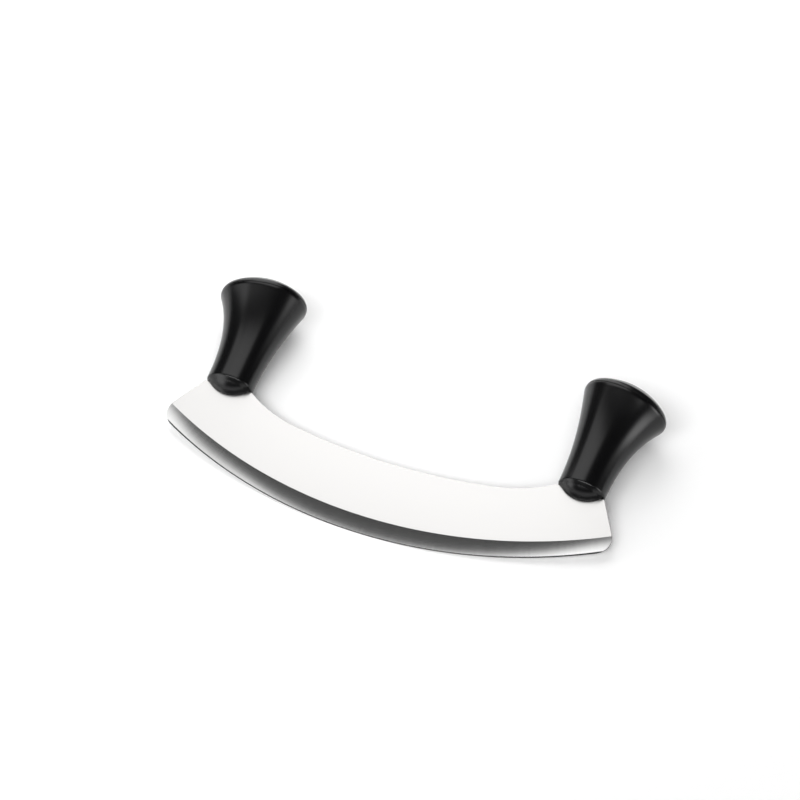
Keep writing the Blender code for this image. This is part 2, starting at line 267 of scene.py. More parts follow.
class Pen:
    """Draws an outline in edit mode: one vertex, extruded along lines and spun round arcs.

    The outline is drawn in the XY plane of a frame, and turns are counter-clockwise there.
    """

    def __init__(self, name: str, frame_of_plane: Matrix, start: Vector, chord: float) -> None:
        """Puts the pen down.

        Args:
            name: the name of the object that is drawn.
            frame_of_plane: the frame whose XY plane is drawn on.
            start: the first point, in that plane.
            chord: the longest step along an arc.
        """
        self.plane = frame_of_plane
        self.at = start.copy()
        self.chord = chord
        bpy.ops.mesh.primitive_plane_add(size=chord)
        self.piece = name_piece(name)
        with editing(self.piece):
            bpy.ops.mesh.merge(type="CENTER")
            bpy.ops.transform.translate(value=self.place(start))
        select_only(self.piece)
        bpy.ops.object.mode_set(mode="EDIT")
        bpy.ops.mesh.select_all(action="SELECT")

    def place(self, point: Vector) -> Vector:
        """A point of the drawing plane, in space."""
        return self.plane @ Vector((point.x, point.y, 0))

    def line_to(self, point: Vector) -> None:
        """Draws a straight line.

        Args:
            point: where the line ends.
        """
        step = self.place(point) - self.place(self.at)
        bpy.ops.mesh.extrude_region_move(TRANSFORM_OT_translate={"value": step})
        self.at = point.copy()

    def arc(self, centre: Vector, turn: float) -> None:
        """Draws an arc from where the pen is.

        Args:
            centre: the arc's centre, in the drawing plane.
            turn: the angle that the arc covers, counter-clockwise.
        """
        arm = self.at - centre
        steps = max(2, math.ceil(abs(turn) * arm.length / self.chord))
        # The spin operator turns clockwise about its axis, so the axis points away from the viewer
        axis = self.plane.to_3x3() @ Vector((0, 0, -1))
        bpy.ops.mesh.spin(steps=steps, angle=turn, center=self.place(centre), axis=axis)
        self.at = centre + Matrix.Rotation(turn, 2) @ arm

    def lift(self) -> Object:
        """Takes the pen up.

        Returns:
            The drawn object, in object mode.
        """
        bpy.ops.object.mode_set(mode="OBJECT")
        return self.piece


@dataclass(frozen=True)
class GripAxis:
    """The centre line of the right grip, which leans outwards a little more the higher it goes."""

    foot: Vector
    head_height: float
    foot_lean: float
    head_lean: float

    def at(self, height: float) -> tuple[Vector, float]:
        """Finds a place on the line.

        Args:
            height: how far up the grip, from the rim of its foot.

        Returns:
            The place, and the lean there.
        """
        # The slope grows with the square of the height, and its sum up to there is the shift outwards
        along = min(max(height, 0), self.head_height)
        climb = math.tan(self.head_lean) - math.tan(self.foot_lean)
        lean = math.atan(math.tan(self.foot_lean) + climb * (along / self.head_height) ** 2)
        outwards = math.tan(self.foot_lean) * along + climb * along**3 / (3 * self.head_height**2)
        rest = height - along
        shift = Vector((outwards + rest * math.sin(lean), 0, along + rest * math.cos(lean)))
        return self.foot + shift, lean

    def foot_frame(self, lean: float) -> Matrix:
        """The frame at the middle of the foot's rim with Z along a lean."""
        return Matrix.Translation(self.foot) @ Matrix.Rotation(lean, 4, "Y")

    def chord_frame(self, height: float) -> Matrix:
        """The frame at the foot with Z through the line's place at a height, as a straight tang goes."""
        reach = self.at(height)[0] - self.foot
        return self.foot_frame(math.atan2(reach.x, reach.z))


@dataclass(frozen=True)
class GripForm:
    """The outer form of a grip above the rim of its foot, before it is pressed oval across the blade."""

    foot_width: float = 0.0240
    foot_dome_depth: float = 0.0048
    foot_rounding: float = 0.0015
    flare_height: float = 0.0512
    flare_width: float = 0.04345
    flare_exponent: float = 2.38
    head_rounding: float = 0.0041
    head_dome_height: float = 0.01029
    depth_share: float = 0.8049

    @property
    def foot_radius(self) -> float:
        """Half the width of the foot."""
        return self.foot_width / 2

    @property
    def flare_growth(self) -> float:
        """How much the radius grows from the foot to the top of the flare."""
        return self.flare_width / 2 - self.foot_radius

    def flare(self, height: float) -> float:
        """The radius of the side at a height."""
        return self.foot_radius + self.flare_growth * (height / self.flare_height) ** self.flare_exponent

    @property
    def top_slope(self) -> float:
        """How far the side leans out where the rounding of the head begins."""
        return math.atan(self.flare_exponent * self.flare_growth / self.flare_height)

    @property
    def head_height(self) -> float:
        """The height of the head's widest ring, where the cap is seated."""
        return self.flare_height + self.head_rounding * math.sin(self.top_slope)

    @property
    def head_radius(self) -> float:
        """The radius of the head's widest ring."""
        return self.flare_width / 2 + self.head_rounding * (1 - math.cos(self.top_slope))


@dataclass(frozen=True)
class KnifeSizes:
    """The sizes that more than one piece follows."""

    form: GripForm = GripForm()
    length: float = 0.2300
    thickness: float = 0.0020
    grip_inset: float = 0.0231
    foot_rise: float = 0.0047
    shoulder_overhang: float = 0.0003
    spine_height: float = 0.0412
    spine_radius: float = 0.2985
    edge_radius: float = 0.2369
    bevel_width: float = 0.0092
    grind_centre_rise: float = 0.0119
    tang_width: float = 0.0120
    tang_above_pin: float = 0.0045
    neck_height: float = 0.0220
    washer_thickness: float = 0.0012
    pin_diameter: float = 0.0030
    foot_lean: float = math.radians(1.5)
    head_lean: float = math.radians(9.1)
    gap: float = 0.0003

    @property
    def half(self) -> float:
        """Half the thickness of the sheet."""
        return self.thickness / 2

    @property
    def pin_height(self) -> float:
        """How far the cross pin's axis is above the rim of the foot."""
        return self.neck_height + self.gap + self.washer_thickness + self.gap + self.pin_diameter / 2

    @property
    def tang_height(self) -> float:
        """How far the tang reaches above the rim of the foot."""
        return self.pin_height + self.tang_above_pin

    @property
    def grind_radius(self) -> float:
        """How high above the edge the centre of the grinding is, a little above the edge's own centre."""
        return self.edge_radius + self.grind_centre_rise

    @property
    def bevel_top_radius(self) -> float:
        """The radius of the bevel's top line about the centre of the grinding."""
        return self.grind_radius - self.bevel_width

    @property
    def face_middle(self) -> Vector:
        """The middle of the blade's front face, between the bevel and the spine."""
        return Vector((0, -self.half, (self.bevel_width + self.spine_height) / 2))

    @property
    def axis(self) -> GripAxis:
        """Works out the right grip's centre line.

        Returns:
            The centre line, from the rim of the foot.
        """
        across = self.length / 2 - self.grip_inset
        shoulder = across - self.form.foot_radius - self.shoulder_overhang
        spine = self.spine_height + self.spine_radius - math.sqrt(self.spine_radius**2 - shoulder**2)
        foot = Vector((across, 0, spine + self.foot_rise))
        return GripAxis(foot, self.form.head_height, self.foot_lean, self.head_lean)


class LyingPose:
    """How the upright knife lies on its back, read from the frame's flat mount on the blade's front."""

    def __init__(self, mount: dict, face_middle: Vector) -> None:
        """Works the pose out.

        Args:
            mount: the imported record's mount in the middle of the blade's front face.
            face_middle: the same point on the upright knife, whose front faces -Y.
        """
        normal = Vector(mount["axis"])
        turned = Matrix.Rotation(math.atan2(-normal.z, -normal.y), 4, "X")
        self.matrix = Matrix.Translation(Vector(mount["pos_m"]) - turned @ face_middle) @ turned

    def lay(self, piece: Object) -> None:
        """Lays a finished upright piece down, with its place kept in its mesh.

        Args:
            piece: the piece to lay down.
        """
        piece.matrix_world = self.matrix @ piece.matrix_world
        settle(piece)


def to_linear(colour: str) -> tuple[float, float, float, float]:
    """Turns an sRGB hex colour to the linear values that shaders take.

    Args:
        colour: six hex digits after a number sign.

    Returns:
        Red, green, blue and an alpha of 1.
    """
    shares = [value / 255 for value in bytes.fromhex(colour.lstrip("#"))]
    red, green, blue = Color(shares).from_srgb_to_scene_linear()
    return red, green, blue, 1.0


def feed(node: Node, inputs: Inputs) -> None:
    """Sets a node's inputs.

    Args:
        node: the node.
        inputs: what the inputs take.
    """
    for socket, value in inputs.items():
        if isinstance(value, NodeSocket):
            node.id_data.links.new(value, node.inputs[socket])
        else:
            node.inputs[socket].default_value = value


def add_node(tree: NodeTree, kind: str, inputs: Inputs | None = None, **settings: object) -> Node:
    """Adds a shader node with its settings and links.

    Args:
        tree: the node tree to add to.
        kind: the node's type.
        inputs: what its inputs take.
        settings: the node's own options.

    Returns:
        The node.
    """
    node = tree.nodes.new(kind)
    for option, value in settings.items():
        setattr(node, option, value)
    feed(node, inputs or {})
    return node


def new_material(name: str) -> tuple[Material, NodeTree, Node]:
    """Makes a material.

    Args:
        name: the material's name.

    Returns:
        The material, its node tree and its Principled shader.
    """
    material = bpy.data.materials.new(name)
    material.use_nodes = True
    return material, material.node_tree, material.node_tree.nodes["Principled BSDF"]


@dataclass(frozen=True, kw_only=True)
class Finish:
    """A procedural finish: one noise pattern sways its colour and its sheen, and one raises its surface.

    The size of a pattern is that of one grain along X, Y and Z in millimetres, and its detail is how many
    finer layers it has. A relief without a size of its own follows the pattern of the colour.
    """

    name: str
    low_colour: str
    high_colour: str
    roughness: Pair
    tone_size: Triple
    tone_detail: float = 2.0
    relief_size: Triple | None = None
    relief_detail: float = 2.0
    relief_height: float = 0.0
    metallic: float = 1.0
    ior: float | None = None

    def place(self, tree: NodeTree) -> NodeSocket:
        """Adds the node that says where a point is on the object, in metres."""
        return add_node(tree, "ShaderNodeTexCoord").outputs["Object"]

    def pattern(self, tree: NodeTree, place: NodeSocket, size: Triple, detail: float) -> NodeSocket:
        """Adds the nodes of a pattern of a real size.

        Args:
            tree: the material's nodes.
            place: where a point is, in metres.
            size: the size of one grain along each axis, in millimetres.
            detail: how many finer layers the pattern has.

        Returns:
            The pattern, between 0 and 1.
        """
        scale = Vector([1 / (length * MILLIMETRE) for length in size])
        stretched = add_node(tree, "ShaderNodeVectorMath", {0: place, 1: scale}, operation="MULTIPLY")
        inputs = {"Vector": stretched.outputs["Vector"], "Scale": 1.0, "Detail": detail}
        return add_node(tree, "ShaderNodeTexNoise", inputs).outputs["Fac"]

    def material(self) -> Material:
        """Makes the material.

        Returns:
            The material.
        """
        material, tree, shader = new_material(self.name)
        place = self.place(tree)
        tone = self.pattern(tree, place, self.tone_size, self.tone_detail)
        relief = tone
        if self.relief_size:
            relief = self.pattern(tree, place, self.relief_size, self.relief_detail)
        ramp = add_node(tree, "ShaderNodeValToRGB", {"Fac": tone})
        for element, colour in zip(ramp.color_ramp.elements, (self.low_colour, self.high_colour)):
            element.color = to_linear(colour)
        sheen = {"Value": tone, "To Min": self.roughness[0], "To Max": self.roughness[1]}
        raised = {"Height": relief, "Strength": 1.0, "Distance": self.relief_height * MILLIMETRE}
        inputs = {
            "Metallic": self.metallic,
            "Base Color": ramp.outputs["Color"],
            "Roughness": add_node(tree, "ShaderNodeMapRange", sheen).outputs["Result"],
            "Normal": add_node(tree, "ShaderNodeBump", raised).outputs["Normal"],
        }
        # A metal keeps the shader's own IOR
        if self.ior is not None:
            inputs["IOR"] = self.ior
        feed(shader, inputs)
        return material


@dataclass(frozen=True, kw_only=True)
class SatinSteel(Finish):
    """Stainless knife steel, rolled and satin finished: pale, with an even sheen and faint clouds."""

    name: str = "stainless_steel_satin"
    low_colour: str = "#C6C5C4"
    high_colour: str = "#CBCAC9"
    roughness: Pair = (0.24, 0.28)
    tone_size: Triple = (9.0, 9.0, 9.0)
    # The real grain is near 0.05 mm, drawn coarser so that it shows
    relief_size: Triple = (0.6, 0.6, 0.6)
    relief_height: float = 0.00015


@dataclass(frozen=True, kw_only=True)
class GroundSteel(Finish):
    """The same steel where a wheel has ground it: short scratches run across the bevel to the edge."""

    knife: KnifeSizes
    pose: LyingPose
    name: str = "stainless_steel_ground"
    low_colour: str = "#CACACA"
    high_colour: str = "#D6D6D5"
    roughness: Pair = (0.09, 0.12)
    # Real scratches are near 0.1 mm wide, drawn coarser so that they show
    tone_size: Triple = (0.6, 12.0, 1.0)
    tone_detail: float = 3.0
    relief_height: float = 0.0006

    def place(self, tree: NodeTree) -> NodeSocket:
        """Adds the nodes that unroll the crescent: X along the edge, Y across the bevel.

        Args:
            tree: the material's nodes.

        Returns:
            The unrolled place of a point, in metres.
        """
        radius = self.knife.edge_radius
        lying = self.pose.matrix
        laid = {"Vector": super().place(tree), "Location": lying.translation, "Rotation": lying.to_euler()}
        upright = add_node(tree, "ShaderNodeMapping", laid, vector_type="TEXTURE").outputs["Vector"]
        parts = add_node(tree, "ShaderNodeSeparateXYZ", {"Vector": upright}).outputs
        down = add_node(tree, "ShaderNodeMath", {0: radius, 1: parts["Z"]}, operation="SUBTRACT").outputs[0]
        angle = add_node(tree, "ShaderNodeMath", {0: parts["X"], 1: down}, operation="ARCTAN2").outputs[0]
        along = add_node(tree, "ShaderNodeMath", {0: angle, 1: radius}, operation="MULTIPLY").outputs[0]
        arm = add_node(tree, "ShaderNodeCombineXYZ", {"X": parts["X"], "Y": down}).outputs["Vector"]
        reach = add_node(tree, "ShaderNodeVectorMath", {0: arm}, operation="LENGTH").outputs["Value"]
        return add_node(tree, "ShaderNodeCombineXYZ", {"X": along, "Y": reach}).outputs["Vector"]


@dataclass(frozen=True, kw_only=True)
class WhettedSteel(GroundSteel):
    """The same steel along the very edge, which a coarser stone has whetted: duller, and painted dark as the
    shade along the edge.
    """

    name: str = "whetted_edge_painted_shade"
    # Painted shade: these dark colours stand for the thin contact shadow along the cutting edge, not the
    # steel's own colour
    low_colour: str = "#464646"
    high_colour: str = "#525251"
    roughness: Pair = (0.28, 0.34)


@dataclass(frozen=True, kw_only=True)
class MouldedBlackPlastic(Finish):
    """Black polypropylene from a polished mould: a deep black under a clear, slightly uneven gloss."""

    name: str = "polypropylene_black_gloss"
    low_colour: str = "#020203"
    high_colour: str = "#040405"
    roughness: Pair = (0.21, 0.24)
    tone_size: Triple = (6.0, 6.0, 6.0)
    # The faint orange peel that a mould leaves
    relief_size: Triple = (1.6, 1.6, 1.6)
    relief_detail: float = 1.0
    relief_height: float = 0.0010
    metallic: float = 0.0
    ior: float = 1.42


@dataclass(frozen=True, kw_only=True)
class ZincPlate(Finish):
    """Steel under a thin bright coat of zinc, with the small flat crystals that plating grows."""

    name: str = "steel_zinc_plated"
    low_colour: str = "#B4B7BB"
    high_colour: str = "#CDD0D3"
    roughness: Pair = (0.28, 0.42)
    tone_size: Triple = (0.8, 0.8, 0.8)
    tone_detail: float = 3.0


@dataclass(frozen=True, kw_only=True)
class GroundPinSteel(Finish):
    """Hardened steel, ground round and round: fine rings about the pin's axis, which lies close to Z."""

    name: str = "steel_hardened_ground"
    low_colour: str = "#9C9D9F"
    high_colour: str = "#B2B3B5"
    roughness: Pair = (0.16, 0.26)
    tone_size: Triple = (3.0, 3.0, 0.15)
    relief_height: float = 0.0004


@dataclass
class GrindingWheel:
    """A cutter shaped as a sector of a ring, which grinds one face of the upright sheet.

    Its section is drawn as reach from the wheel's centre and depth from the middle of the sheet.
    """

    name: str
    centre_height: float
    section: Sequence[Vector]
    sector: float = math.radians(80)
    chord: float = 0.0010
    clearance: float = 0.0020

    def build(self, face: BladeFace) -> Object:
        """Makes the cutter.

        Args:
            face: the face that it grinds.

        Returns:
            The closed cutter.
        """
        centre = Vector((0, 0, self.centre_height))
        first_arm = Matrix.Rotation(self.sector / 2, 3, "Y") @ Vector((0, 0, -1))
        depth = Vector((0, face.value, 0))
        turned = Matrix((first_arm, depth, first_arm.cross(depth))).transposed().to_4x4()
        start, before, last = self.section[0], self.section[-2], self.section[-1]
        beyond = last + (last - before).normalized() * self.clearance
        above = start.y + self.clearance
        pen = Pen(self.name, Matrix.Translation(centre) @ turned, start, self.chord)
        for point in (*self.section[1:], beyond, Vector((beyond.x, above)), Vector((start.x, above)), start):
            pen.line_to(point)
        wheel = pen.lift()
        steps = math.ceil(self.sector * self.centre_height / self.chord)
        with editing(wheel):
            bpy.ops.mesh.remove_doubles(threshold=JOIN_DISTANCE)
            bpy.ops.mesh.edge_face_add()
            bpy.ops.mesh.spin(steps=steps, angle=self.sector, center=centre, axis=(0, 1, 0))
        face_outwards(wheel)
        return wheel


@dataclass
class Blade:
    """The blade: a flat sheet cut to a crescent with two tangs, its arrises eased and its edge ground."""

    knife: KnifeSizes
    edge_land: float = 0.0003
    edge_corner_radius: float = 0.0090
    spine_fillet_radius: float = 0.0710
    tang_corner_radius: float = 0.0025
    pin_hole_sides: int = 48
    arris_radius: float = 0.00028
    arris_steps: int = 3
    arris_above: float = math.radians(60)
    hollow_depth: float = 0.00007
    hollow_steps: int = 11
    grind_overrun: float = 0.0004
    whetted_edge: float = 0.00002
    whetted_slope: float = math.radians(21)
    whetting_reach: float = 0.0020
    # The ground faces that slope more than this get the whetted material, whose dark colour is painted shade
    # along the edge
    whetted_above: float = math.radians(14)
    chord: float = 0.00035
    smooth_below: float = math.radians(2.6)

    @property
    def upright_plane(self) -> Matrix:
        """The drawing plane of the upright blade: its X along X, its Y up Z."""
        return Matrix.Rotation(math.pi / 2, 4, "X")

    def draw_half(self) -> Object:
        """Draws the right half of the outline, from the middle of the edge to the middle of the spine.

        Returns:
            The open outline.
        """
        knife = self.knife
        edge_centre = Vector((0, knife.edge_radius))
        pen = Pen("blade_sheet", self.upright_plane, Vector((0, 0)), self.chord)

        across = knife.length / 2 - self.edge_corner_radius
        reach = knife.edge_radius - self.edge_corner_radius
        corner = Vector((across, knife.edge_radius - math.sqrt(reach**2 - across**2)))
        leave = angle_of(corner - edge_centre)
        pen.arc(edge_centre, leave + math.pi / 2)

        foot = knife.axis.foot_frame(knife.foot_lean)
        half_width = knife.form.foot_radius + knife.shoulder_overhang
        outer = flat(foot @ Vector((half_width, 0, 0)))
        inner = flat(foot @ Vector((-half_width, 0, 0)))
        to_shoulder = outer - corner
        tangent = angle_of(to_shoulder) - math.acos(self.edge_corner_radius / to_shoulder.length)
        pen.arc(corner, tangent - leave)
        pen.line_to(outer)

        self.draw_tang(pen)
        pen.line_to(inner)

        spine_centre = Vector((0, knife.spine_height + knife.spine_radius))
        fillet = circles_meet(
            inner, self.spine_fillet_radius, spine_centre, knife.spine_radius - self.spine_fillet_radius
        )
        leave = angle_of(fillet - spine_centre)
        pen.arc(fillet, leave - angle_of(inner - fillet))
        pen.arc(spine_centre, -math.pi / 2 - leave)
        return pen.lift()

    def draw_tang(self, pen: Pen) -> None:
        """Draws the tang, up its outer side, over its rounded end and down its inner side.

        Args:
            pen: the pen that draws the outline.
        """
        knife = self.knife
        tang = knife.axis.chord_frame(knife.tang_height)
        half = knife.tang_width / 2
        across = half - self.tang_corner_radius
        top = knife.tang_height - self.tang_corner_radius
        pen.line_to(flat(tang @ Vector((half, 0, 0))))
        pen.line_to(flat(tang @ Vector((half, 0, top))))
        pen.arc(flat(tang @ Vector((across, 0, top))), math.pi / 2)
        pen.line_to(flat(tang @ Vector((-across, 0, knife.tang_height))))
        pen.arc(flat(tang @ Vector((-across, 0, top))), math.pi / 2)
        pen.line_to(flat(tang @ Vector((-half, 0, 0))))

    def cut_sheet(self) -> Object:
        """Cuts the whole outline from sheet, drills the tangs and eases all arrises.

        Returns:
            The flat blank, without its bevel.
        """
        sheet = self.draw_half()
        with editing(sheet):
            # The two ends of the half outline are put right on the middle line, so that it closes
            select_where(sheet, lambda place: abs(place.x) < self.chord / 2)
            bpy.ops.transform.resize(value=(0, 1, 1), center_override=(0, 0, 0))
        apply_modifier(sheet, "MIRROR", use_axis=(True, False, False), merge_threshold=JOIN_DISTANCE)
        with editing(sheet):
            bpy.ops.mesh.remove_doubles(threshold=JOIN_DISTANCE)
            bpy.ops.mesh.edge_face_add()
            bpy.ops.transform.translate(value=(0, -self.knife.half, 0))
            through = (0, self.knife.thickness, 0)
            bpy.ops.mesh.extrude_region_move(TRANSFORM_OT_translate={"value": through})
        face_outwards(sheet)
        for side in Side:
            cut_out(sheet, self.make_drill(side))
        rounding = {"width": self.arris_radius, "segments": self.arris_steps}
        apply_modifier(sheet, "BEVEL", **rounding, limit_method="ANGLE", angle_limit=self.arris_above)
        return sheet

    def make_drill(self, side: Side) -> Object:
        """Makes the cutter of a tang's hole, which the cross pin goes through.

        Args:
            side: the end of the knife.

        Returns:
            The cutter.
        """
        knife = self.knife
        centre = knife.axis.chord_frame(knife.tang_height) @ Vector((0, 0, knife.pin_height))
        bpy.ops.mesh.primitive_cylinder_add(
            vertices=self.pin_hole_sides,
            radius=knife.pin_diameter / 2 + knife.gap,
            depth=2 * knife.thickness,
            location=(side.value * centre.x, centre.y, centre.z),
            rotation=(math.pi / 2, 0, 0),
        )
        return name_piece("drill")

    def grinding_wheel(self) -> GrindingWheel:
        """Shapes the wheel that grinds the slightly hollow bevel.

        Returns:
            The wheel.
        """
        knife = self.knife
        slope = (knife.half - self.edge_land / 2) / knife.bevel_width
        top = Vector((knife.bevel_top_radius, knife.half))
        low = Vector((knife.grind_radius, self.edge_land / 2))
        section = [top + Vector((-self.grind_overrun, slope * self.grind_overrun))]
        for share in spread(0, 1, self.hollow_steps):
            # A parabola with its full depth in the middle of the bevel
            hollow = 4 * self.hollow_depth * share * (1 - share)
            section.append(top.lerp(low, share) - Vector((0, hollow)))
        return GrindingWheel("grinding_wheel", knife.grind_radius, section)

    def whetting_wheel(self) -> GrindingWheel:
        """Shapes the wheel that whets the edge, steeper and only along its rim.

        Returns:
            The wheel.
        """
        rim = self.knife.edge_radius
        slope = math.tan(self.whetted_slope)
        start = Vector((rim - self.whetting_reach, self.whetted_edge + slope * self.whetting_reach))
        return GrindingWheel("whetting_wheel", rim, [start, Vector((rim, self.whetted_edge))])

    def build(self) -> Object:
        """Makes the blade, with its ground part set apart for a finish of its own and its whetted edge
        painted dark as shade.

        Returns:
            The blade, upright.
        """
        knife = self.knife
        sheet = self.cut_sheet()
        for wheel in (self.grinding_wheel(), self.whetting_wheel()):
            for face in BladeFace:
                cut_out(sheet, wheel.build(face))
        face_outwards(sheet)
        shade_smooth(sheet, self.smooth_below)
        grind_centre = Vector((0, knife.grind_radius))
        for polygon in sheet.data.polygons:
            ground = (flat(polygon.center) - grind_centre).length > knife.bevel_top_radius
            steep = abs(polygon.normal.y) < math.cos(self.whetted_above)
            # The satin sheet is material 0, the ground bevel 1 and the steeper whetted edge 2, whose dark
            # colour is painted shade
            polygon.material_index = int(ground) + int(ground and steep)
        return sheet

    def dress(self, sheet: Object, pose: LyingPose) -> None:
        """Gives the blade its steel and its place in the frame.

        Args:
            sheet: the finished blade.
            pose: how it lies.
        """
        ground = {"knife": self.knife, "pose": pose}
        for finish in (SatinSteel(), GroundSteel(**ground), WhettedSteel(**ground)):
            sheet.data.materials.append(finish.material())
        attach(sheet, BODY)
        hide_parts("blade")


def arc_of_rings(
    centre: RadiusAndHeight, radius: float, start: float, end: float, count: int
) -> list[RadiusAndHeight]:
    """Rings of a moulding along an arc of its outline.

    Args:
        centre: the arc's centre.
        radius: the arc's radius.
        start: where the arc starts, as an angle from straight outwards towards straight up.
        end: where it ends.
        count: how many rings, both ends included.

    Returns:
        The radius and height of each ring.
    """
    return [
        (centre[0] + radius * math.cos(turned), centre[1] + radius * math.sin(turned))
        for turned in spread(start, end, count)
    ]


@dataclass
class RingLoft:
    """A closed moulding drawn ring by ring: each is extruded from the last, scaled, moved and turned."""

    axis: GripAxis
    depth_share: float
    sides: int

    def draw(self, name: str, outline: Sequence[RadiusAndHeight]) -> Object:
        """Draws the moulding from its first ring, which is a disc, to its last point.

        Args:
            name: the object's name.
            outline: radius and height of each ring, the last with no radius.

        Returns:
            The closed moulding.
        """
        radius, height = outline[0]
        centre, lean = self.axis.at(height)
        bpy.ops.mesh.primitive_circle_add(
            vertices=self.sides, radius=radius, fill_type="NGON", location=centre, rotation=(0, lean, 0)
        )
        piece = name_piece(name)
        settle(piece)
        with editing(piece):
            bpy.ops.transform.resize(value=(1, self.depth_share, 1), center_override=centre)
            for next_radius, next_height in outline[1:]:
                next_centre, next_lean = self.axis.at(next_height)
                bpy.ops.mesh.extrude_region_move(TRANSFORM_OT_translate={"value": next_centre - centre})
                if next_radius:
                    growth = next_radius / radius
                    bpy.ops.transform.resize(value=(growth, growth, growth), center_override=next_centre)
                    bpy.ops.transform.rotate(
                        value=lean - next_lean, orient_axis="Y", center_override=next_centre
                    )
                else:
                    bpy.ops.mesh.merge(type="CENTER")
                radius, centre, lean = next_radius, next_centre, next_lean
        face_outwards(piece)
        return piece


@dataclass
class Grip:
    """One grip and its cap: a hollow oval moulding, waisted at its foot and flared to a domed head."""

    knife: KnifeSizes
    wall: float = 0.0024
    rim_width: float = 0.0032
    skirt_depth: float = 0.0030
    skirt_wall: float = 0.0015
    lip_radius: float = 0.00012
    lip_rings: int = 5
    slot_overrun: float = 0.0040
    sides: int = 128
    flare_rings: int = 40
    dome_rings: int = 20
    rounding_rings: int = 8
    smooth_below: float = math.radians(35)

    @property
    def socket_radius(self) -> float:
        """The radius of the socket in the head that the cap's skirt goes into."""
        return self.knife.form.head_radius - self.rim_width

    @property
    def loft(self) -> RingLoft:
        """What draws the mouldings."""
        return RingLoft(self.knife.axis, self.knife.form.depth_share, self.sides)

    def lip(self, radius: float, height: float, side: int) -> list[RadiusAndHeight]:
        """The small rounding of an outer rim at the seam of the cap.

        Args:
            radius: the rim's radius.
            height: the height of the flat side of the rim.
            side: -1 where the moulding is below that height, 1 where it is above.

        Returns:
            The rounding, from the flat side to the outside.
        """
        centre = (radius - self.lip_radius, height + side * self.lip_radius)
        return arc_of_rings(centre, self.lip_radius, -side * math.pi / 2, 0, self.lip_rings)

    def inner_outline(self) -> list[RadiusAndHeight]:
        """Works out the hollow, from its floor to the rim of the head.

        Returns:
            The radius and height of each ring.
        """
        form = self.knife.form
        ledge = form.head_height - self.skirt_depth - self.knife.gap
        heights = spread(self.knife.neck_height, ledge, self.rounding_rings)
        outline = [(form.flare(height) - self.wall, height) for height in heights]
        return outline + [(self.socket_radius, ledge), (self.socket_radius, form.head_height)]

    def outer_outline(self) -> list[RadiusAndHeight]:
        """Works out the outer side, from the rim of the head down to the tip of the foot's dome.

        Returns:
            The radius and height of each ring.
        """
        form = self.knife.form
        centre = (form.head_radius - form.head_rounding, form.head_height)
        outline = self.lip(form.head_radius, form.head_height, -1)
        outline += arc_of_rings(centre, form.head_rounding, 0, -form.top_slope, self.rounding_rings)[1:-1]
        heights = spread(form.flare_height, form.foot_rounding, self.flare_rings)
        outline += [(form.flare(height), height) for height in heights]
        rim_radius = form.flare(form.foot_rounding) - form.foot_rounding
        dome_radius = (rim_radius**2 + form.foot_dome_depth**2) / (2 * form.foot_dome_depth)
        dome_start = -math.acos(rim_radius / dome_radius)
        centre = (rim_radius, form.foot_rounding)
        outline += arc_of_rings(centre, form.foot_rounding, 0, dome_start, self.rounding_rings)[1:]
        centre = (0, dome_radius - form.foot_dome_depth)
        outline += arc_of_rings(centre, dome_radius, dome_start, -math.pi / 2, self.dome_rings)[1:-1]
        return outline + [(0, -form.foot_dome_depth)]

    def cap_outline(self) -> list[RadiusAndHeight]:
        """Works out the cap: its inner dome, its skirt, its seat, its rounded rim and its dome.

        Returns:
            The radius and height of each ring.
        """
        form = self.knife.form
        rounding = form.head_rounding
        corner = (form.head_radius - rounding, form.head_height)
        height = form.head_dome_height
        dome_radius = (height**2 + corner[0] ** 2 - rounding**2) / (2 * (height - rounding))
        dome_centre = (0, form.head_height + height - dome_radius)
        dome_start = math.atan2(dome_radius - height, corner[0])
        skirt_radius = self.socket_radius - self.knife.gap
        skirt_inside = skirt_radius - self.skirt_wall
        inner_radius = dome_radius - self.wall
        inner_end = math.acos(skirt_inside / inner_radius)
        outline = arc_of_rings(dome_centre, inner_radius, math.pi / 2, inner_end, self.rounding_rings)[1:]
        bottom = form.head_height - self.skirt_depth
        bearing = form.head_height + self.knife.gap
        outline += [(skirt_inside, bottom), (skirt_radius, bottom), (skirt_radius, bearing)]
        seat = math.asin(self.knife.gap / rounding)
        outline += self.lip(corner[0] + rounding * math.cos(seat), bearing, 1)
        outline += arc_of_rings(corner, rounding, seat, dome_start, self.rounding_rings)[1:-1]
        outline += arc_of_rings(dome_centre, dome_radius, dome_start, math.pi / 2, self.dome_rings)[:-1]
        return outline + [(0, form.head_height + height)]

    def slot_cutter(self, width: float, top: float, slot_frame: Matrix) -> Object:
        """Makes the cutter of a slot for the sheet.

        Args:
            width: the slot's width along the blade.
            top: how far up the slot goes, from the rim of the foot.
            slot_frame: the frame at the foot, with Z up the slot.

        Returns:
            The cutter, a box below and up to that height.
        """
        bottom = -self.knife.form.foot_dome_depth - self.slot_overrun
        depth = self.knife.thickness + 2 * self.knife.gap
        bpy.ops.mesh.primitive_cube_add(size=1)
        cutter = name_piece("slot")
        size = Matrix.Diagonal((width, depth, top - bottom, 1))
        cutter.matrix_world = slot_frame @ Matrix.Translation((0, 0, (top + bottom) / 2)) @ size
        settle(cutter)
        return cutter

    def build(self) -> dict[str, Object]:
        """Makes the right grip and its cap.

        Returns:
            The two pieces, upright, by the first word of their nodes' names.
        """
        knife = self.knife
        body = self.loft.draw("grip_right_moulding", self.inner_outline() + self.outer_outline())
        foot_width = knife.form.foot_width + 2 * self.slot_overrun
        cut_out(body, self.slot_cutter(foot_width, knife.gap, knife.axis.foot_frame(knife.foot_lean)))
        tang_width = knife.tang_width + 2 * knife.gap
        tang_top = knife.neck_height + self.slot_overrun
        cut_out(body, self.slot_cutter(tang_width, tang_top, knife.axis.chord_frame(knife.tang_height)))
        cap = self.loft.draw("cap_right_moulding", self.cap_outline())
        return {"grip": body, "cap": cap}

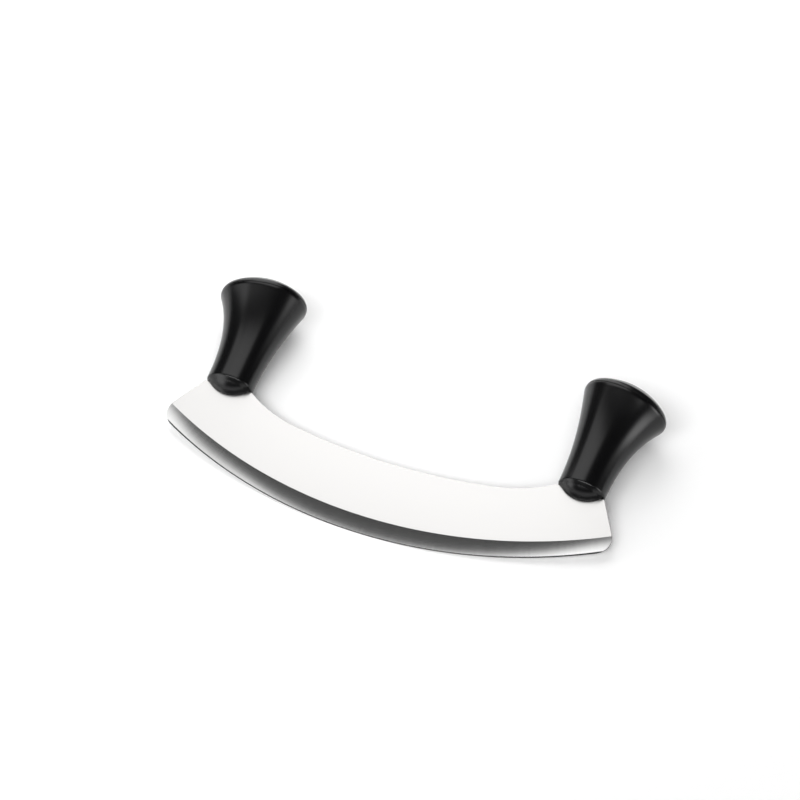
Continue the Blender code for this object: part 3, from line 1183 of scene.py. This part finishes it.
    def dress(self, pieces: dict[str, Object], side: Side, plastic: Material) -> None:
        """Gives a grip and its cap their plastic and their places in the frame.

        Args:
            pieces: the two pieces, by the first word of their nodes' names.
            side: the end of the knife that they belong to.
            plastic: their material.
        """
        for word, piece in pieces.items():
            piece.data.materials.append(plastic)
            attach(piece, BODY)
            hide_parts(f"{word}_{side.word}")


@dataclass
class HiddenHardware:
    """The washers and cross pins inside the grips, which are the frame's own solids."""

    washer_finish: Finish = ZincPlate()
    pin_finish: Finish = GroundPinSteel()

    def dress(self) -> None:
        """Gives each washer and pin its metal."""
        for word, finish in (("washer", self.washer_finish), ("pin", self.pin_finish)):
            material = finish.material()
            for side in Side:
                node = frame["nodes"][f"{word}_{side.word}"]
                node.material_slots[0].material = material
                LOG.info("%s: %s", node.name, material.name)


@dataclass(frozen=True)
class PhotoCamera:
    """The camera, set up as the photograph was taken: from the front right, well above the table."""

    aim: Triple = (-0.01055, 0.01989, 0.00979)
    distance: float = 1.6036
    azimuth: float = math.radians(21.96)
    elevation: float = math.radians(47.28)
    lens: float = 147.26
    sensor: float = 36.0

    def build(self) -> None:
        """Makes the camera and hands it to the scene."""
        level = math.cos(self.elevation)
        across = level * math.sin(self.azimuth)
        back = Vector((across, -level * math.cos(self.azimuth), math.sin(self.elevation)))
        body = bpy.data.cameras.new("photo_camera")
        body.lens = self.lens
        body.sensor_width = self.sensor
        camera = bpy.data.objects.new("photo_camera", body)
        bpy.context.scene.collection.objects.link(camera)
        camera.location = Vector(self.aim) + back * self.distance
        camera.rotation_euler = (-back).to_track_quat("-Z", "Y").to_euler()
        bpy.context.scene.camera = camera


@dataclass(frozen=True)
class Softbox:
    """A rectangular studio lamp whose glow fades towards its sides.

    A radiance of 1 is as bright as white paper that renders white. The turn is about the way it faces.
    """

    name: str
    place: Triple
    aim: Triple
    width: float
    depth: float
    radiance: float
    turn: float = 0.0
    side_fade: float = 0.08
    end_fade: float = 0.08

    def fade(self, tree: NodeTree) -> NodeSocket:
        """Adds the nodes that make the glow fade near the lamp's four sides.

        Args:
            tree: the lamp's nodes.

        Returns:
            The share of the full glow.
        """
        place = add_node(tree, "ShaderNodeNewGeometry").outputs["Parametric"]
        parts = add_node(tree, "ShaderNodeSeparateXYZ", {"Vector": place}).outputs
        # Each part of the place goes from 0 to 1 across the lamp, so a side is this far from its middle
        side = 0.5
        shares = []
        for part, width, fade in (("X", self.width, self.side_fade), ("Y", self.depth, self.end_fade)):
            terms = {0: parts[part], 1: side}
            off = add_node(tree, "ShaderNodeMath", terms, operation="SUBTRACT").outputs[0]
            away = add_node(tree, "ShaderNodeMath", {0: off}, operation="ABSOLUTE").outputs[0]
            inputs = {"Value": away, "From Min": side, "From Max": side - fade / width}
            share = add_node(tree, "ShaderNodeMapRange", inputs, interpolation_type="SMOOTHSTEP")
            shares.append(share.outputs["Result"])
        return add_node(tree, "ShaderNodeMath", dict(enumerate(shares)), operation="MULTIPLY").outputs[0]

    def build(self) -> None:
        """Hangs the lamp."""
        lamp = bpy.data.lights.new(self.name, "AREA")
        lamp.shape = "RECTANGLE"
        lamp.size = self.width
        lamp.size_y = self.depth
        lamp.energy = self.radiance * math.pi * self.width * self.depth
        lamp.use_nodes = True
        tree = lamp.node_tree
        feed(tree.nodes["Emission"], {"Strength": self.fade(tree)})
        holder = bpy.data.objects.new(self.name, lamp)
        bpy.context.scene.collection.objects.link(holder)
        holder.location = self.place
        way = Vector(self.aim) - Vector(self.place)
        turned = way.to_track_quat("-Z", "Y") @ Quaternion((0, 0, 1), self.turn)
        holder.rotation_euler = turned.to_euler()
        holder.visible_camera = False


@dataclass
class Studio:
    """A pale table in a dim studio with a white horizon, lit by a few softboxes.

    Past table_fade, the lamps no longer reach the table: it is drawn white there, as the horizon is.
    """

    table_radius: float = 6.0
    table_sides: int = 96
    table_colour: str = "#FFFFFF"
    table_fade: Pair = (0.35, 0.7)
    dim_glow: float = 0.085
    horizon_glow: float = 1.0
    horizon_top: Pair = (0.04, 0.12)
    softboxes: tuple[Softbox, ...] = (
        Softbox(
            "overhead_behind", place=(-0.099, 0.4535, 0.50), aim=(-0.099, 0.4535, 0.0), width=0.422,
            depth=0.83, radiance=1.78, turn=math.radians(0.9), end_fade=0.03,
        ),
        # A little higher than its neighbour: of two lamps in one plane a mirror shows only one
        Softbox(
            "overhead_behind_left", place=(-0.395, 0.4655, 0.503), aim=(-0.395, 0.4655, 0.0), width=0.33,
            depth=0.83, radiance=1.58, end_fade=0.03,
        ),
        Softbox(
            "panel_behind_left", place=(-0.36, 0.60, 0.25), aim=(0.0, 0.0, 0.03), width=0.66,
            depth=0.50, radiance=1.6,
        ),
        Softbox(
            "overhead_front", place=(-0.35, -0.10, 0.50), aim=(-0.35, -0.10, 0.0), width=1.2,
            depth=0.14, radiance=0.75, side_fade=0.6, end_fade=0.04,
        ),
        Softbox(
            "panel_right", place=(0.88, -0.11, 0.27), aim=(0.09, 0.0, 0.02), width=0.60,
            depth=0.66, radiance=4.2, side_fade=0.25, end_fade=0.25,
        ),
        Softbox(
            "panel_right_dim", place=(0.86, 0.12, 0.32), aim=(0.09, 0.0, 0.02), width=0.56,
            depth=0.80, radiance=0.6, side_fade=0.20, end_fade=0.30,
        ),
        Softbox(
            "panel_left", place=(-0.57, -0.19, 0.31), aim=(-0.09, 0.0, 0.03), width=0.40,
            depth=0.66, radiance=1.35, side_fade=0.11, end_fade=0.14,
        ),
        Softbox(
            "panel_near_left", place=(-0.36, -0.33, 0.14), aim=(-0.09, 0.0, 0.02), width=0.44,
            depth=0.34, radiance=2.8, side_fade=0.16, end_fade=0.12,
        ),
        Softbox(
            "fill_at_camera", place=(0.18, -2.05, 2.20), aim=(0.0, 0.0, 0.0), width=3.0,
            depth=1.4, radiance=6.6, side_fade=0.2, end_fade=0.2,
        ),
    )

    def whiten(self, tree: NodeTree, shader: Node) -> None:
        """Adds the nodes that make the far table white to the camera and in mirrors.

        Args:
            tree: the table's nodes.
            shader: the near table's shader.
        """
        here = add_node(tree, "ShaderNodeTexCoord").outputs["Object"]
        reach = add_node(tree, "ShaderNodeVectorMath", {0: here}, operation="LENGTH").outputs["Value"]
        fade = {"Value": reach, "From Min": self.table_fade[0], "From Max": self.table_fade[1]}
        far = add_node(tree, "ShaderNodeMapRange", fade, interpolation_type="SMOOTHSTEP").outputs["Result"]
        rays = add_node(tree, "ShaderNodeLightPath").outputs
        seen = rays["Is Camera Ray"]
        for ray in ("Is Glossy Ray", "Is Transmission Ray"):
            seen = add_node(tree, "ShaderNodeMath", {0: seen, 1: rays[ray]}, operation="MAXIMUM").outputs[0]
        share = add_node(tree, "ShaderNodeMath", {0: far, 1: seen}, operation="MULTIPLY").outputs[0]
        glow = add_node(tree, "ShaderNodeEmission", {"Color": to_linear(self.table_colour)}).outputs[0]
        parts = {0: share, 1: shader.outputs["BSDF"], 2: glow}
        mixed = add_node(tree, "ShaderNodeMixShader", parts).outputs["Shader"]
        feed(tree.nodes["Material Output"], {"Surface": mixed})

    def lay_table(self) -> None:
        """Makes the table top, which isn't part of the knife."""
        sides = self.table_sides
        bpy.ops.mesh.primitive_circle_add(vertices=sides, radius=self.table_radius, fill_type="NGON")
        table = name_piece("table_top")
        material, tree, shader = new_material("matt_white_laminate")
        matt = {"Base Color": to_linear(self.table_colour), "Roughness": 1.0, "Specular IOR Level": 0.0}
        feed(shader, matt)
        self.whiten(tree, shader)
        table.data.materials.append(material)

    def light(self) -> None:
        """Hangs the lamps and makes the room: white near the horizon, dim above it."""
        for softbox in self.softboxes:
            softbox.build()
            LOG.info("lamp %s", softbox.name)
        world = bpy.data.worlds.new("dim_studio")
        world.use_nodes = True
        tree = world.node_tree
        way = add_node(tree, "ShaderNodeTexCoord").outputs["Generated"]
        rise = add_node(tree, "ShaderNodeSeparateXYZ", {"Vector": way}).outputs["Z"]
        inputs = {
            "Value": rise,
            "From Min": self.horizon_top[0],
            "From Max": self.horizon_top[1],
            "To Min": self.horizon_glow,
            "To Max": self.dim_glow,
        }
        glow = add_node(tree, "ShaderNodeMapRange", inputs, interpolation_type="SMOOTHSTEP")
        feed(tree.nodes["Background"], {"Color": glow.outputs["Result"]})
        bpy.context.scene.world = world


def main() -> None:
    """Builds the scene, piece by piece."""
    logging.basicConfig(level=logging.INFO, format="%(name)s: %(message)s")
    bpy.context.scene.view_settings.view_transform = "Standard"
    knife = KnifeSizes()
    mounts = {mount["name"]: mount for mount in frame["record"]["mounts"]}
    pose = LyingPose(mounts[FRONT_MOUNT], knife.face_middle)

    blade = Blade(knife)
    sheet = blade.build()
    pose.lay(sheet)
    blade.dress(sheet, pose)
    LOG.info("blade: %d faces", len(sheet.data.polygons))

    grip = Grip(knife)
    plastic = MouldedBlackPlastic().material()
    right = grip.build()
    left = {word: mirror_copy(piece, f"{word}_left_moulding") for word, piece in right.items()}
    for side, pieces in ((Side.RIGHT, right), (Side.LEFT, left)):
        for word, piece in pieces.items():
            shade_smooth(piece, grip.smooth_below)
            pose.lay(piece)
            LOG.info("%s on the %s: %d faces", word, side.word, len(piece.data.polygons))
        grip.dress(pieces, side, plastic)
    HiddenHardware().dress()

    studio = Studio()
    studio.lay_table()
    studio.light()
    PhotoCamera().build()


if __name__ == "__main__":
    main()
